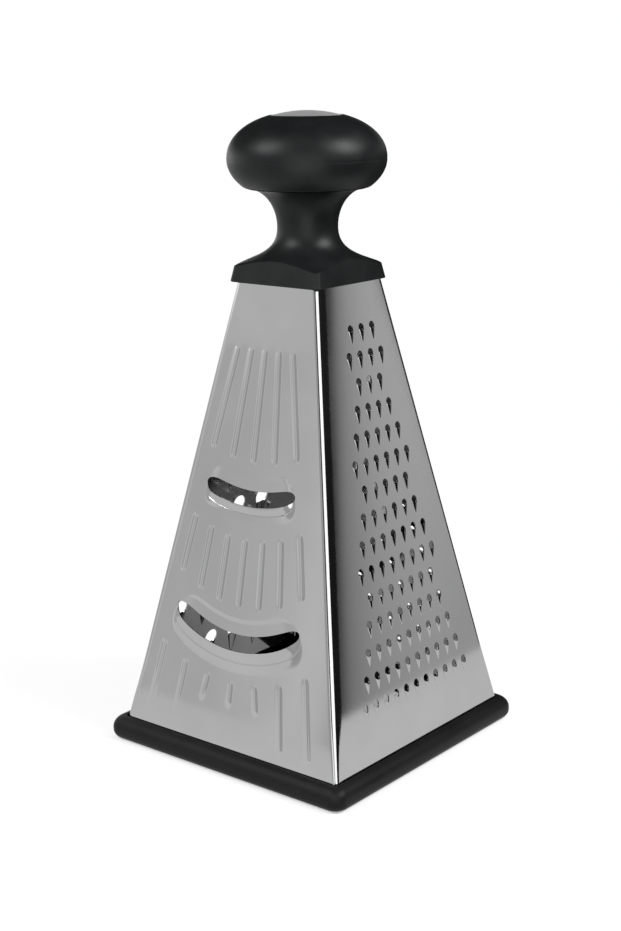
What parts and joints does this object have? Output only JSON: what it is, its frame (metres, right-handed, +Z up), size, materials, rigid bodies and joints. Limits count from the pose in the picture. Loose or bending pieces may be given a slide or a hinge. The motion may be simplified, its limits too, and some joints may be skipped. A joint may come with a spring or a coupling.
{
  "type": "tower grater",
  "caption": "Four-sided tapering hand grater of pressed steel panels, with slicing slots and grating teeth, a rubber base rim and a black mushroom knob.",
  "frame": {"origin": "middle of the base rim's underside", "axes": "+Z up along the body's axis to the knob; the slicing panel faces -Y and the medium panel +X"},
  "size_m": [0.1208, 0.1208, 0.25],
  "materials": {
    "rim_rubber": "matt black moulded rubber",
    "panel_steel": "bright rolled stainless sheet",
    "zinc_steel": "zinc plated",
    "knob_plastic": "satin black moulded plastic",
    "disc_steel": "satin"
  },
  "bodies": {
    "root": {"base_rim": "rim_rubber", "panel_slicer": "panel_steel", "panel_medium": "panel_steel", "panel_fine": "panel_steel", "panel_coarse": "panel_steel", "clamp_plate": "zinc_steel", "lock_washer": "zinc_steel", "clamp_nut": "zinc_steel", "neck_collar": "knob_plastic", "knob_grip": "knob_plastic", "bolt_washer": "zinc_steel", "tie_bolt": "zinc_steel", "cap_disc": "disc_steel"}
  },
  "joints": []
}
